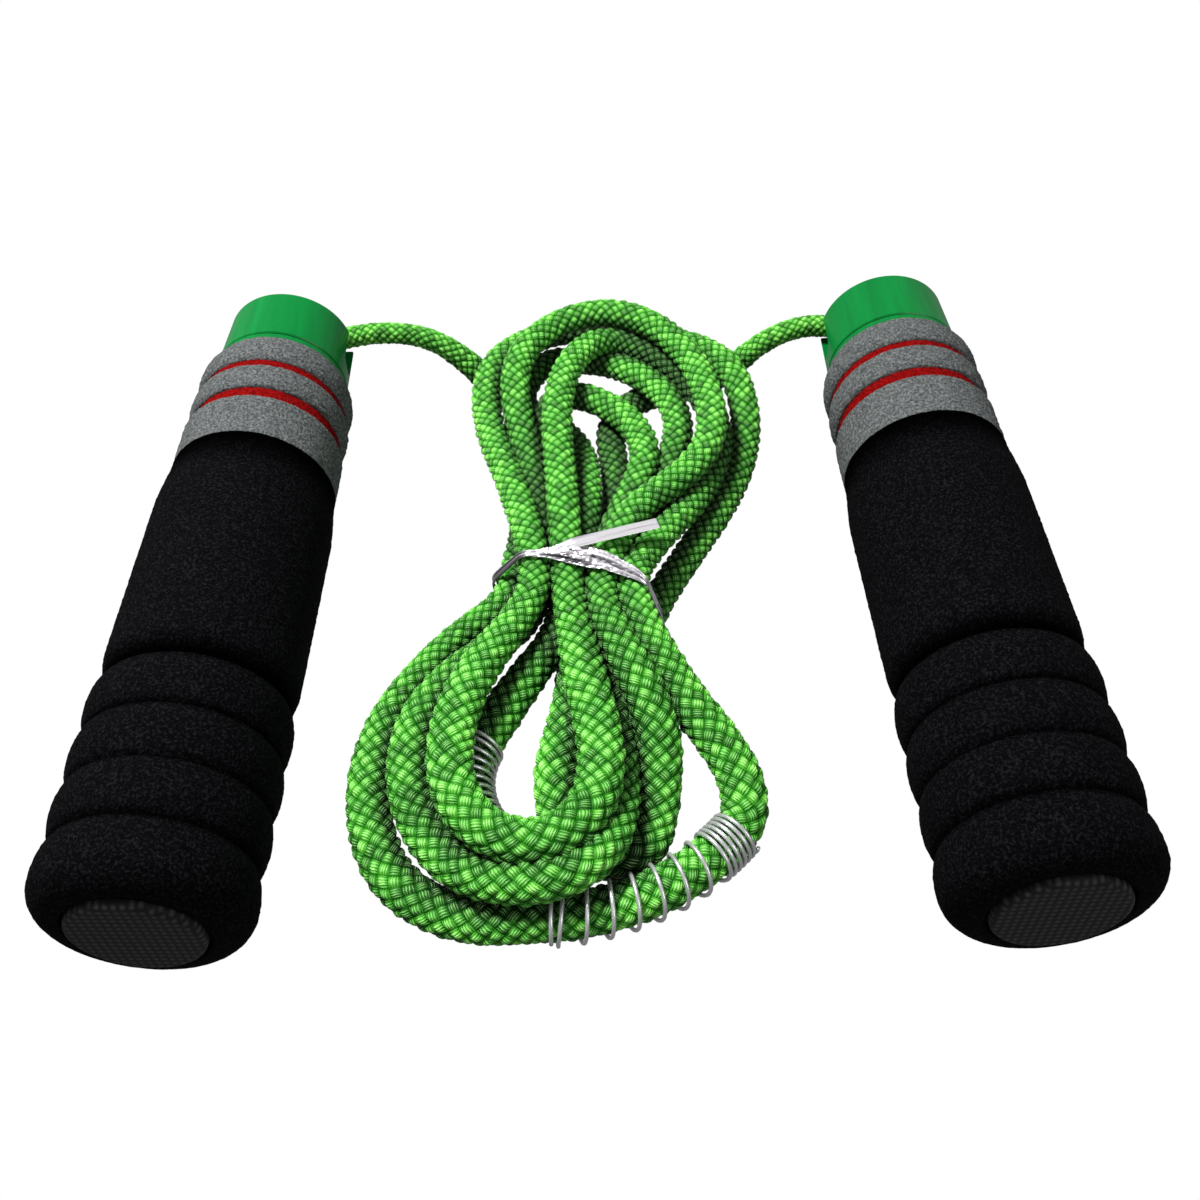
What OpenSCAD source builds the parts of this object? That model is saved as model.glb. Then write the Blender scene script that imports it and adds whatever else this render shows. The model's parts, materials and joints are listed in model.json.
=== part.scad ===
// Jump rope: two ball-bearing foam handles joined by one braided rope that
// is folded into a bundle. Millimetres. +Y runs from the handle butts to the
// heads, +X to the right, +Z up from the floor plane.

/* [Foam grips] */
// length of the black foam grip
grip_l = 108; // [105:0.5:112]
// largest radius of the bulb at the butt end
bulb_r = 20; // [19.5:0.1:21]
// radius of the plain waist of the grip
waist_r = 19.4; // [19:0.1:19.6]
// radius at the bottom of each finger groove
groove_r = 18.7; // [18:0.1:19]
// distance between finger grooves
groove_pitch = 11.4; // [10.5:0.1:12]
// radius of the grey foam rings
grey_r = 18.3; // [17.8:0.1:18.6]
// radius of the two recessed red rings
red_r = 17.3; // [16:0.1:17.6]

/* [Handle core] */
// outer radius of the core tube
tube_r = 13; // [12.8:0.05:13]
// wall of the core tube
tube_wall = 2; // [1.8:0.1:2]
// radius of the end plug's flange
plug_r = 12.4; // [12:0.1:12.7]

/* [Bearing] */
// outer radius of the ball bearing
race_or = 9.5; // [9.2:0.1:9.6]
// radius of each ball
ball_r = 1.75; // [1.6:0.05:1.8]
// number of balls
balls = 7; // [6:1:7]

/* [Head] */
// outer radius of the rotating head at its open end
head_r = 15.2; // [14.8:0.1:15.4]
// draft of the head: how much wider it is at the handle
head_draft = 0.5; // [0:0.1:0.6]
// wall of the rotating head
head_wall = 2.2; // [1.8:0.1:2.4]
// width of the rope slot
slot_w = 6.4; // [6:0.1:6.8]

/* [Rope] */
// radius of the rope where it is pulled tight
rope_r = 2.5; // [2.2:0.05:2.5]
// extra radius of the relaxed lower loops
rope_swell = 0.5; // [0:0.1:0.5]
// number of sides of the rope section
rope_sides = 8; // [6:1:8]

/* [Springs] */
// outer radius of the rope springs
spring_or = 5.5; // [5.3:0.1:5.6]
// radius of the spring wire
wire_r = 0.4; // [0.3:0.05:0.42]
// closed turns at each spring end
end_turns = 6; // [3:1:7]

/* [Twist tie] */
// thickness of the tie band
tie_t = 0.4; // [0.3:0.05:0.5]
// width of the tie band
tie_w = 3.6; // [3:0.1:4]

/* [Hidden] */
$fn = 64;
shift = [-1.25, -7.78, 0];         // puts the frame origin under the middle
left_butt = [-79.1, -77.9, 20.1];
right_butt = [81.4, -80.6, 20.1];
left_yaw = 2.88;
right_yaw = -1.39;
tilt = 0.4;
foam_gap = 0.05;                   // foam bore over core tube
foam_bore = tube_r + foam_gap;
band_z = grip_l;                   // grey band starts
red_a_z = 120.4;                     // first red ring
ring_z = 123.7;                    // grey middle ring
red_b_z = 131;                   // second red ring
nose_z = 133.2;                    // grey nose ring
nose_end = 142.6;
tube_z0 = 2;
bore_r = tube_r - tube_wall;
flange_z = 144.6;                  // front of the bearing housing
race_z0 = 138.4;
race_z1 = 144.4;
race_mid = (race_z0 + race_z1) / 2;
pitch_r = 6.25;                    // ball circle
track_r = ball_r + 0.03;
cup_z0 = 144.9;
web_z = 147.7;
head_end = 160.5;
cap_z0 = 158.6;
base_r = head_r + head_draft;       // head radius next to the handle
rope_pin_z = 154.1;                // rope pivot inside the head
ferrule_r = 3.4;
ferrule_l = 5;

function arc(x, y, r, a0, a1, n = 6) =
  [for (k = [0:n]) let (a = a0 + (a1 - a0) * k / n) [x + r * cos(a), y + r * sin(a)]];
function clamp(v) = min(max(v, 0), 1);
function smooth(v) = let (t = clamp(v)) t * t * (3 - 2 * t);

// ---------------------------------------------------------------- placing
module row() translate(shift) children();
module on_left() row() translate(left_butt) rotate([0, 0, -left_yaw])
  rotate([-90 - tilt, 0, 0]) children();
module on_right() row() translate(right_butt) rotate([0, 0, -right_yaw])
  rotate([-90 - tilt, 0, 0]) rotate([0, 0, 180]) children();

// ---------------------------------------------------------------- foam
groove_1 = 13.6;
groove_4 = groove_1 + 3 * groove_pitch;
bulb_edge = 6.2;
function bulb_at(z) = z < bulb_edge
  ? bulb_r - bulb_edge * (1 - sqrt(1 - pow(1 - z / bulb_edge, 2)))
  : bulb_r - (bulb_r - groove_r) * pow((z - bulb_edge) / (groove_1 - bulb_edge), 3);
function ridge_at(z) = let (u = (z - groove_1) / groove_pitch)
  groove_r + (bulb_r - 0.1 - groove_r) * pow(abs(sin(180 * u)), 0.6);
function waist_at(z) = groove_r + (waist_r - groove_r) * smooth((z - groove_4) / 7)
  - (waist_r - grey_r) * smooth((z - grip_l + 14) / 14);
function grip_at(z) = z < groove_1 ? bulb_at(z) : z < groove_4 ? ridge_at(z) : waist_at(z);
grip_steps = concat([for (a = [0:15:90]) bulb_edge * (1 - cos(a))],
  [8, 10, 11.6, 12.8], [for (k = [0:24]) groove_1 + groove_pitch * k / 8],
  [for (z = [50:2:56]) z], [grip_l - 14, grip_l - 10, grip_l - 7, grip_l - 4, grip_l]);

module foam_grip() rotate_extrude()
  polygon(concat([[foam_bore, 0]], [for (z = grip_steps) [grip_at(z), z]], [[foam_bore, grip_l]]));
module foam_band(z0, z1, edge) rotate_extrude()
  polygon(concat([[foam_bore, z0], [grey_r, z0]],
    arc(grey_r - edge, z1 - edge, edge, 0, 90), [[foam_bore, z1]]));
module foam_ring(z0, z1, r) rotate_extrude()
  polygon([[foam_bore, z0], [r, z0], [r, z1], [foam_bore, z1]]);
module foam_bulge(z0, z1) let (m = (z0 + z1) / 2, h = (z1 - z0) / 2) rotate_extrude()
  polygon(concat([[foam_bore, z0]],
    [for (a = [-90:15:90]) [red_r + (grey_r - red_r) * pow(cos(a), 0.8), m + h * sin(a)]],
    [[foam_bore, z1]]));
module foam_nose(z0, z1) rotate_extrude()
  polygon(concat([[foam_bore, z0]], [for (a = [-90:18:0])
      [red_r + (grey_r - 0.1 - red_r) * cos(a), z0 + 3.2 * (1 + sin(a))]],
    [[grey_r - 0.2, z0 + 4.6], [grey_r - 0.7, z0 + 6.4]],
    arc(grey_r - 3, z1 - 1.6, 1.6, 25, 90, 4), [[foam_bore, z1]]));

// ---------------------------------------------------------------- core
module core_tube() rotate_extrude() translate([bore_r, tube_z0])
  square([tube_wall, nose_end - tube_z0]);
module end_plug() rotate_extrude()
  polygon(concat([[0, -1.2]], arc(plug_r - 1.2, 0, 1.2, -90, 0), [[plug_r, tube_z0],
    [bore_r, tube_z0], [bore_r, 14], [bore_r - 1.6, 14], [bore_r - 1.6, 3.2], [0, 3.2]]));
module bearing_housing() rotate_extrude()
  polygon([[7, 126], [bore_r, 126], [bore_r, nose_end], [base_r + 0.1, nose_end],
    [base_r + 0.1, flange_z - 0.4], [base_r - 0.3, flange_z], [race_or, flange_z],
    [race_or, race_z0 - 0.01], [7.6, race_z0 - 0.01], [7.6, 130], [7, 130]]);

// ---------------------------------------------------------------- bearing
module race(r0, r1) difference() {
  rotate_extrude() translate([r0, race_z0]) square([r1 - r0, race_z1 - race_z0]);
  rotate_extrude() translate([pitch_r, race_mid]) circle(track_r);
}
module ball_ring(r) for (k = [1:balls]) rotate([0, 0, 360 * k / balls])
  translate([pitch_r, 0, race_mid]) sphere(r);
module cage() difference() {
  rotate_extrude() translate([pitch_r - 0.5, race_mid - 2.2]) square([1, 4.4]);
  for (k = [1:balls]) rotate([0, 0, 360 * k / balls]) translate([5, 0, race_mid])
    rotate([0, 90, 0]) cylinder(r = ball_r + 0.05, h = 3);
}
module shields() for (z = [race_z0 + 0.1, race_z1 - 0.4]) rotate_extrude()
  translate([5.25, z]) square([7.4 - 5.25, 0.3]);

// ---------------------------------------------------------------- head
module rope_slot() {
  translate([0, -slot_w / 2, 149 + slot_w / 2]) cube([20, slot_w, 20]);
  translate([0, 0, 149 + slot_w / 2]) rotate([0, 90, 0]) cylinder(r = slot_w / 2, h = 20);
}
module head_cup() difference() {
  rotate_extrude() polygon(concat([[3, cup_z0], [base_r - 0.3, cup_z0], [base_r, cup_z0 + 0.3]],
    arc(head_r - 0.6, head_end - 0.6, 0.6, 0, 90),
    [[head_r - head_wall, head_end], [head_r - head_wall, web_z], [3, web_z]]));
  rope_slot();
}
module head_cap() difference() {
  translate([0, 0, cap_z0]) cylinder(r = head_r - head_wall, h = head_end - 0.3 - cap_z0);
  translate([-slot_w / 2, -slot_w / 2, cap_z0 - 1]) cube([20, slot_w, 5]);
}
module spindle_bolt() {
  translate([0, 0, web_z]) cylinder(r = 5.2, h = 1.8);
  translate([0, 0, 132]) cylinder(r = 3, h = web_z - 132);
}
module washer(r, z0, z1) rotate_extrude() translate([3, z0]) square([r - 3, z1 - z0]);
module spindle_nut() difference() {
  translate([0, 0, 132.8]) cylinder(r = 5.77, h = 4.8, $fn = 6);
  translate([0, 0, 132]) cylinder(r = 3, h = 7);
}

// ---------------------------------------------------------------- rope path
// Control points of one cubic B-spline, from the left head through the
// bundle to the right head. The waist of the bundle is at y = 0.
function fan(cx, cy, r, a0, a1, z0, z1, n) =
  [for (k = [0:n]) let (t = k / n, a = a0 + (a1 - a0) * t)
    [cx + r * cos(a), cy + r * sin(a), z0 + (z1 - z0) * t]];

lead_in = [[-73.51, 74.83, 19], [-71.36, 76, 19.02], [-64.4, 79.8, 19.1], [-57, 83.6, 19.1],
  [-49, 84.8, 19.1], [-41.5, 84.3, 18.6], [-35, 84, 16.2], [-29, 83.2, 11.2], [-23.6, 81.2, 5.7],
  [-18.6, 77, 3.8], [-14, 72, 3.3], [-8, 66.5, 3.3], [-2, 60, 3.6], [1, 52, 5], [2, 42, 8], [2, 30, 10.3],
  [0, 15, 10.3], [-3, 0, 9.7]];
spring_b_arc = [-4.6, -42, 19.2, 150, 241];
lower_3 = concat([[-6.5, -10, 9.2], [-12.3, -18, 8.3], [-17, -25, 7.3]],
  fan(-4.6, -42, 19.2, 150, 241, 6.8, 6.5, 5), [[-9.4, -60.4, 7.3], [-5, -57.4, 8.5],
  [-5.4, -50.5, 9.4], [-6.4, -43.5, 9.7], [-4.4, -35, 9.7], [-2, -26, 9.7], [-1.2, -16, 9.6],
  [3.3, 0, 9.5]]);
upper_e = [[5.2, 14, 10], [9.5, 25, 11], [14, 34, 12], [16.5, 43, 12], [15.5, 52, 11.3],
  [12, 59, 10.5], [7, 65, 9.8], [0.5, 69, 9.7], [-6, 67, 9.7], [-9, 59, 8.5], [-8.5, 48, 5.5],
  [-7, 37, 4], [-5, 20, 3.5], [-2.5, 0, 3.4]];
lower_5 = [[-2.2, -13, 3.4], [-2.2, -25, 3.3], [-4.2, -36, 3.3], [-4.6, -46, 3.3],
  [-1.4, -54.5, 3.3], [4.6, -59.5, 3.3], [10.4, -58, 3.5], [13, -51, 4.6], [14.3, -44, 6.6],
  [15, -37, 10], [13.4, -29, 14.2], [9.6, -20.5, 16.4], [5.5, -10.5, 16.4], [3.4, 0, 15.8]];
upper_a = [[8, 14, 15.4], [13, 24, 15.2], [21, 30, 15.4], [28.5, 37, 15.8], [33, 47, 16.3],
  [32.5, 61, 17], [28, 76, 17.3], [19, 88, 17.5], [7, 92.5, 17.5], [-6, 87, 17.5],
  [-14.5, 77, 16.5], [-15.5, 65, 14], [-12.5, 50, 11.5], [-10, 37, 10], [-9, 20, 9.6],
  [-9.3, 0, 9.6]];
lower_2 = [[-17, -9, 9.8], [-26, -16, 9.8], [-33.5, -26, 9.9], [-36, -38, 9.9], [-34, -50, 9.9],
  [-27.4, -61, 9.9], [-18, -66.8, 12.4], [-8, -68.4, 14.5], [-0.5, -65, 14.4], [4, -58.5, 12.6],
  [5.8, -50.5, 10.9], [5.8, -41, 10.3], [5.4, -30, 10], [6.6, -16, 9.6], [9.8, 0, 9.3]];
upper_c = [[11, 8, 8.2], [14.7, 20, 7.4], [18.6, 32, 7.9], [22, 42, 9.6], [25, 52, 10.1],
  [25, 61, 10.2], [21.5, 69, 10.2], [15, 76.5, 9.8], [8, 82, 8.6], [0, 83.5, 8.4],
  [-7.5, 82, 9.6], [-13.5, 74, 9.8], [-15, 62, 7.2], [-14, 50, 4.3], [-12.5, 38, 3.4],
  [-13, 24, 4.8], [-15, 11, 8.3], [-15.8, 1, 10.2]];
spring_a_arc = [-8, -21.4, 50, 266, 320];
lower_4 = concat([[-24, -4, 9], [-33.5, -12, 6], [-41.5, -23, 3.6], [-45, -37, 3.3],
  [-43.5, -51, 3.3], [-38, -62, 3.3], [-29.5, -68, 3.4], [-20, -71.2, 4.6]],
  fan(-8, -21.4, 50, 266, 320, 5.7, 6.3, 6), [[30.8, -48.6, 7.4], [30.2, -43, 8.5],
  [27, -36.5, 9.5], [21.8, -29, 11], [16.7, -20, 13.4], [13, -10, 15.2], [10.2, 0, 15.4]]);
upper_b = [[13, 9, 14.2], [20, 20, 12], [28.5, 32, 9.9], [34.5, 46, 9.5], [34.5, 60, 9.8],
  [28.5, 73.5, 10.3], [20, 82.5, 10.9], [11, 86.5, 12.2], [3.5, 82, 15.4], [-2.5, 71, 16.4],
  [-5, 57, 16.3], [-4.3, 40, 16.3], [-3.2, 20, 16.3], [-3, 0, 15.8]];
lower_1 = [[-1.6, -12, 16.2], [0.2, -23.5, 16.3], [2.2, -34, 16.6], [3.3, -43, 16.8],
  [2.4, -51.3, 16.8], [-1.6, -58, 16.8], [-7.5, -61.5, 16.8], [-14.3, -61.3, 16.8],
  [-21.2, -57.3, 16.8], [-25.7, -49.5, 16.8], [-26.8, -40, 16.7], [-25.2, -29, 16.4],
  [-20.2, -18, 16.3], [-14, -9, 16.2], [-9.4, 0, 15.9]];
upper_d = [[-10.2, 11, 15.5], [-13, 25, 14], [-16.5, 39, 12], [-20.5, 52, 10.4], [-23, 66, 9.8],
  [-22, 79, 11.2], [-15, 90, 9.2], [-4, 95.5, 8.6], [8, 95.6, 8.3], [20, 91.6, 8.4],
  [32, 84.5, 11], [40.4, 74.5, 12.2], [42.5, 61, 8.6], [41, 50, 5.5], [37, 39, 4.4],
  [30.5, 27.5, 4.2], [22, 14, 3.8], [13.5, 0, 3.4]];
lower_6 = [[13.8, -11, 3.3], [14.4, -21, 3.3], [12.6, -29, 3.3], [8, -31.5, 3.3],
  [5.2, -25, 3.3], [4.4, -12, 3.3], [4, 0, 3.4]];
lead_out = [[5.6, 14, 3.3], [8, 28, 3.3], [9.3, 42, 3.3], [8.6, 53, 3.3], [8, 62, 3.3],
  [11.5, 69.5, 3.3], [19, 74.8, 3.3], [28, 76.6, 3.3], [35.5, 78.2, 4], [41, 79.8, 7.4],
  [46, 80.2, 12.8], [50.8, 79.8, 16.9], [56.8, 80.6, 18.8], [63.6, 80.6, 19.1], [70.6, 77.3, 19.05],
  [77.66, 73.45, 19.02], [79.81, 72.27, 19]];
knots = concat(lead_in, lower_3, upper_e, lower_5, upper_a, lower_2, upper_c, lower_4,
  upper_b, lower_1, upper_d, lower_6, lead_out);
last = len(knots) - 1;
left_cut = 6.0;                    // knots where the leads join the bundle
right_cut = last - 6.0;
cut_gap = 0.09;

function knot(i) = i < 0 ? 2 * knots[0] - knots[1]
  : i > last ? 2 * knots[last] - knots[last - 1] : knots[i];
function rope_at(u) = let (i = min(floor(u), last - 1), t = u - i)
  (pow(1 - t, 3) * knot(i - 1) + (3 * t * t * t - 6 * t * t + 4) * knot(i)
   + (-3 * t * t * t + 3 * t * t + 3 * t + 1) * knot(i + 1) + t * t * t * knot(i + 2)) / 6;
function rope_radius(p) = rope_r + rope_swell * smooth((-p.y - 12) / 22);
function unit(v) = v / norm(v);

// closed skin over rings of n points each
module skin(rings) {
  n = len(rings[0]);
  m = len(rings);
  polyhedron(
    [for (ring = rings) each ring],
    concat([[for (k = [0:n - 1]) k]], [[for (k = [n - 1:-1:0]) (m - 1) * n + k]],
      [for (i = [0:m - 2], k = [0:n - 1]) [i * n + k, (i + 1) * n + k, i * n + (k + 1) % n]],
      [for (i = [0:m - 2], k = [0:n - 1])
        [i * n + (k + 1) % n, (i + 1) * n + k, (i + 1) * n + (k + 1) % n]]));
}
module rope(u0, u1) {
  steps = ceil((u1 - u0) * 2.4);
  us = [for (k = [0:steps]) u0 + (u1 - u0) * k / steps];
  row() skin([for (u = us) let (p = rope_at(u), t = unit(rope_at(u + 0.02) - rope_at(u - 0.02)),
      side = unit(cross(t, [0, 0, 1])), up = cross(side, t))
    [for (k = [0:rope_sides - 1]) let (a = 360 * (k + 0.5) / rope_sides)
      p + rope_radius(p) * (cos(a) * side + sin(a) * up)]]);
}
module ferrule(at, toward) row() translate(at)
  rotate([0, 0, atan2(toward.y - at.y, toward.x - at.x)]) rotate([0, 90, 0]) difference() {
    translate([0, 0, -ferrule_l / 2]) cylinder(r = ferrule_r, h = ferrule_l);
    translate([0, 0, -5]) cylinder(r = rope_r + 0.02, h = 10);
  }

// ---------------------------------------------------------------- springs
// Wire coil along an arc of the rope: closed turns, open turns, closed turns.
closed_pitch = 1.2;
spring_r = spring_or - wire_r;
module spring(bend, z0, z1, a0, a1, first_turns, open_turns) {
  len_mm = bend[2] * (a1 - a0) * PI / 180;
  closed = first_turns * closed_pitch;
  turns = first_turns + open_turns + end_turns;
  steps = turns * 9;
  function along(t) = t < first_turns ? t * closed_pitch
    : t > turns - end_turns ? len_mm - (turns - t) * closed_pitch
    : closed + (t - first_turns) * (len_mm - closed - end_turns * closed_pitch) / open_turns;
  function mid(t) = let (w = along(t) / len_mm, a = a0 + (a1 - a0) * w)
    [bend[0] + bend[2] * cos(a), bend[1] + bend[2] * sin(a), z0 + (z1 - z0) * w];
  function out(t) = let (a = a0 + (a1 - a0) * along(t) / len_mm)
    cos(360 * t) * [cos(a), sin(a), 0] + sin(360 * t) * [0, 0, 1];
  function wire(t) = mid(t) + spring_r * out(t);
  row() skin([for (k = [0:steps]) let (t = k * turns / steps,
      dir = unit(wire(t + 0.01) - wire(t - 0.01)), n = out(t), b = cross(n, dir))
    [for (j = [0:4]) wire(t) + wire_r * (cos(72 * j) * n + sin(72 * j) * b)]]);
}

// ---------------------------------------------------------------- tie
// Band round the strands at the waist, with a pinched knot and a flat tail.
tie_y = 3.3;
waist = [[-17.3, 9.7], [-10.8, 16.1], [5, 16.1], [12, 15.5], [17.3, 3.6], [-4, 3.4]];
function edge_angle(a, b) = atan2(b.y - a.y, b.x - a.x) + 90;
function turned(a, b) = b > a + 180 ? b - 360 : b < a - 180 ? b + 360 : b;
function around(pts, r) = let (n = len(pts)) [for (i = [0:n - 1]) let (
    a0 = edge_angle(pts[(i + n - 1) % n], pts[i]),
    a1 = turned(a0, edge_angle(pts[i], pts[(i + 1) % n]))) each arc(pts[i][0], pts[i][1], r, a0, a1)];
module twist_band() row() {
  translate([0, tie_y + tie_w / 2, 0]) rotate([90, 0, 0]) linear_extrude(tie_w) difference() {
    polygon(around(waist, rope_r + 0.55 + tie_t));
    polygon(around(waist, rope_r + 0.55));
  }
  translate([-3, tie_y - 0.5, 19.1]) cube([4.5, 3.8, 1.3]);
  translate([-2.5, tie_y + 1, 19.7]) rotate([0, 0, 17]) cube([21, 3, 0.5]);
}

// ---------------------------------------------------------------- sub-parts
black = [0.06, 0.06, 0.07];
grey = [0.48, 0.49, 0.51];
red = [0.75, 0.05, 0.05];
green = [0.1, 0.66, 0.32];
rope_green = [0.25, 0.68, 0.2];
steel = [0.7, 0.72, 0.75];
dark = [0.18, 0.19, 0.2];

module left_black_grip() color(black) on_left() foam_grip();
module left_grey_band() color(grey) on_left() foam_band(band_z, red_a_z, 0.8);
module left_red_ring_rear() color(red) on_left() foam_ring(red_a_z, ring_z, red_r);
module left_grey_ring() color(grey) on_left() foam_bulge(ring_z, red_b_z);
module left_red_ring_front() color(red) on_left() foam_ring(red_b_z, nose_z, red_r);
module left_grey_nose() color(grey) on_left() foam_nose(nose_z, nose_end);
module left_core_tube() color(dark) on_left() core_tube();
module left_end_plug() color(dark) on_left() end_plug();
module left_bearing_housing() color(green) on_left() bearing_housing();
module left_outer_race() color(steel) on_left() race(7.4, race_or);
module left_bearing_shields() color(steel) on_left() shields();
module left_ball_set() color(steel) on_left() ball_ring(ball_r);
module left_ball_cage() color(steel) on_left() cage();
module left_inner_race() color(steel) on_left() race(3, 5.1);
module left_head_cup() color(green) on_left() head_cup();
module left_head_cap() color(green) on_left() head_cap();
module left_spindle_bolt() color(steel) on_left() spindle_bolt();
module left_inner_washer() color(steel) on_left() washer(4.8, 137.6, race_z0);
module left_spacer_washer() color(steel) on_left() washer(4.6, race_z1, cup_z0);
module left_spindle_nut() color(steel) on_left() spindle_nut();
module right_black_grip() color(black) on_right() foam_grip();
module right_grey_band() color(grey) on_right() foam_band(band_z, red_a_z, 0.8);
module right_red_ring_rear() color(red) on_right() foam_ring(red_a_z, ring_z, red_r);
module right_grey_ring() color(grey) on_right() foam_bulge(ring_z, red_b_z);
module right_red_ring_front() color(red) on_right() foam_ring(red_b_z, nose_z, red_r);
module right_grey_nose() color(grey) on_right() foam_nose(nose_z, nose_end);
module right_core_tube() color(dark) on_right() core_tube();
module right_end_plug() color(dark) on_right() end_plug();
module right_bearing_housing() color(green) on_right() bearing_housing();
module right_outer_race() color(steel) on_right() race(7.4, race_or);
module right_bearing_shields() color(steel) on_right() shields();
module right_ball_set() color(steel) on_right() ball_ring(ball_r);
module right_ball_cage() color(steel) on_right() cage();
module right_inner_race() color(steel) on_right() race(3, 5.1);
module right_head_cup() color(green) on_right() head_cup();
module right_head_cap() color(green) on_right() head_cap();
module right_spindle_bolt() color(steel) on_right() spindle_bolt();
module right_inner_washer() color(steel) on_right() washer(4.8, 137.6, race_z0);
module right_spacer_washer() color(steel) on_right() washer(4.6, race_z1, cup_z0);
module right_spindle_nut() color(steel) on_right() spindle_nut();
module left_ferrule() color(steel) ferrule(lead_in[1], lead_in[2]);
module right_ferrule() color(steel) ferrule(knots[last - 1], knots[last - 2]);
module left_lead() color(rope_green) rope(0, left_cut - cut_gap);
module right_lead() color(rope_green) rope(right_cut + cut_gap, last);
module rope_coil() color(rope_green) rope(left_cut + cut_gap, right_cut - cut_gap);
module front_spring() color(steel) spring(spring_a_arc, 5.7, 6.3, 270.5, 317.2, 1, 7);
module inner_spring() color(steel) spring(spring_b_arc, 6.8, 6.5, 152, 236, 1, 9);
module twist_tie() color(steel) twist_band();

left_black_grip();
left_grey_band();
left_red_ring_rear();
left_grey_ring();
left_red_ring_front();
left_grey_nose();
left_core_tube();
left_end_plug();
left_bearing_housing();
left_outer_race();
left_bearing_shields();
left_ball_set();
left_ball_cage();
left_inner_race();
left_head_cup();
left_head_cap();
left_spindle_bolt();
left_inner_washer();
left_spacer_washer();
left_spindle_nut();
right_black_grip();
right_grey_band();
right_red_ring_rear();
right_grey_ring();
right_red_ring_front();
right_grey_nose();
right_core_tube();
right_end_plug();
right_bearing_housing();
right_outer_race();
right_bearing_shields();
right_ball_set();
right_ball_cage();
right_inner_race();
right_head_cup();
right_head_cap();
right_spindle_bolt();
right_inner_washer();
right_spacer_washer();
right_spindle_nut();
left_ferrule();
right_ferrule();
left_lead();
right_lead();
rope_coil();
front_spring();
inner_spring();
twist_tie();
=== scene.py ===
"""Looks of a jump rope: foam handles, glossy heads, braided rope, springs, twist tie."""
import json
import math

import bpy
import numpy as np
from mathutils import Matrix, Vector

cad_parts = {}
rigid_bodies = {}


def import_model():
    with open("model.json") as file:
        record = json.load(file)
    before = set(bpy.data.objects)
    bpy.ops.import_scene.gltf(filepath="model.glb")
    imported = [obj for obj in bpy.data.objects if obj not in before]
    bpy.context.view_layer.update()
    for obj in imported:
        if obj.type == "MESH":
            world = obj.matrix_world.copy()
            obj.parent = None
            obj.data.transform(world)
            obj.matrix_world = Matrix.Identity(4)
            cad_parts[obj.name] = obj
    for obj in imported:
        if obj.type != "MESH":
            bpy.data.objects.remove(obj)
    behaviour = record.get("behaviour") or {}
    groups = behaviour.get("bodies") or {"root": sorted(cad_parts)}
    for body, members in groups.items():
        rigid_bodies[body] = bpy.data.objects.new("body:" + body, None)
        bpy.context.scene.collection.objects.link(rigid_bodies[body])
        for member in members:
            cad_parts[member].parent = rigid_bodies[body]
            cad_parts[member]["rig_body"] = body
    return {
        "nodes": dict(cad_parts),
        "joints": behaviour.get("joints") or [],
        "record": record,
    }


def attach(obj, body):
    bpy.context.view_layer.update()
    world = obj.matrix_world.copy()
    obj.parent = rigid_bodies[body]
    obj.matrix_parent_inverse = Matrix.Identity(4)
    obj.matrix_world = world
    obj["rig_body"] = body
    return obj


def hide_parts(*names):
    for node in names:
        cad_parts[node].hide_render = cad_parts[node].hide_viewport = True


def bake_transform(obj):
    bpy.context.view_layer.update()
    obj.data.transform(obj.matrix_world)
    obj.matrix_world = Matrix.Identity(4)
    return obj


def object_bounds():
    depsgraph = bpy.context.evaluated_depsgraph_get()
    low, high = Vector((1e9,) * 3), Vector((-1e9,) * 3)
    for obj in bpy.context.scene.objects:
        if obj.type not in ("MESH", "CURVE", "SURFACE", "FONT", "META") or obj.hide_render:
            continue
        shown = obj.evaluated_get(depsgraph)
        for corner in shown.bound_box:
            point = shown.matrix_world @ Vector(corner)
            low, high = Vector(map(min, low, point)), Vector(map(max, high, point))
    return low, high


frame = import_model()
cad_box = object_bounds()
MM = 0.001
SHIFT = np.array([-1.25, -7.78, 0.0])  # the part's layout, moved over its footprint
JOINTS = {j["name"]: j for j in frame["joints"]}


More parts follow.
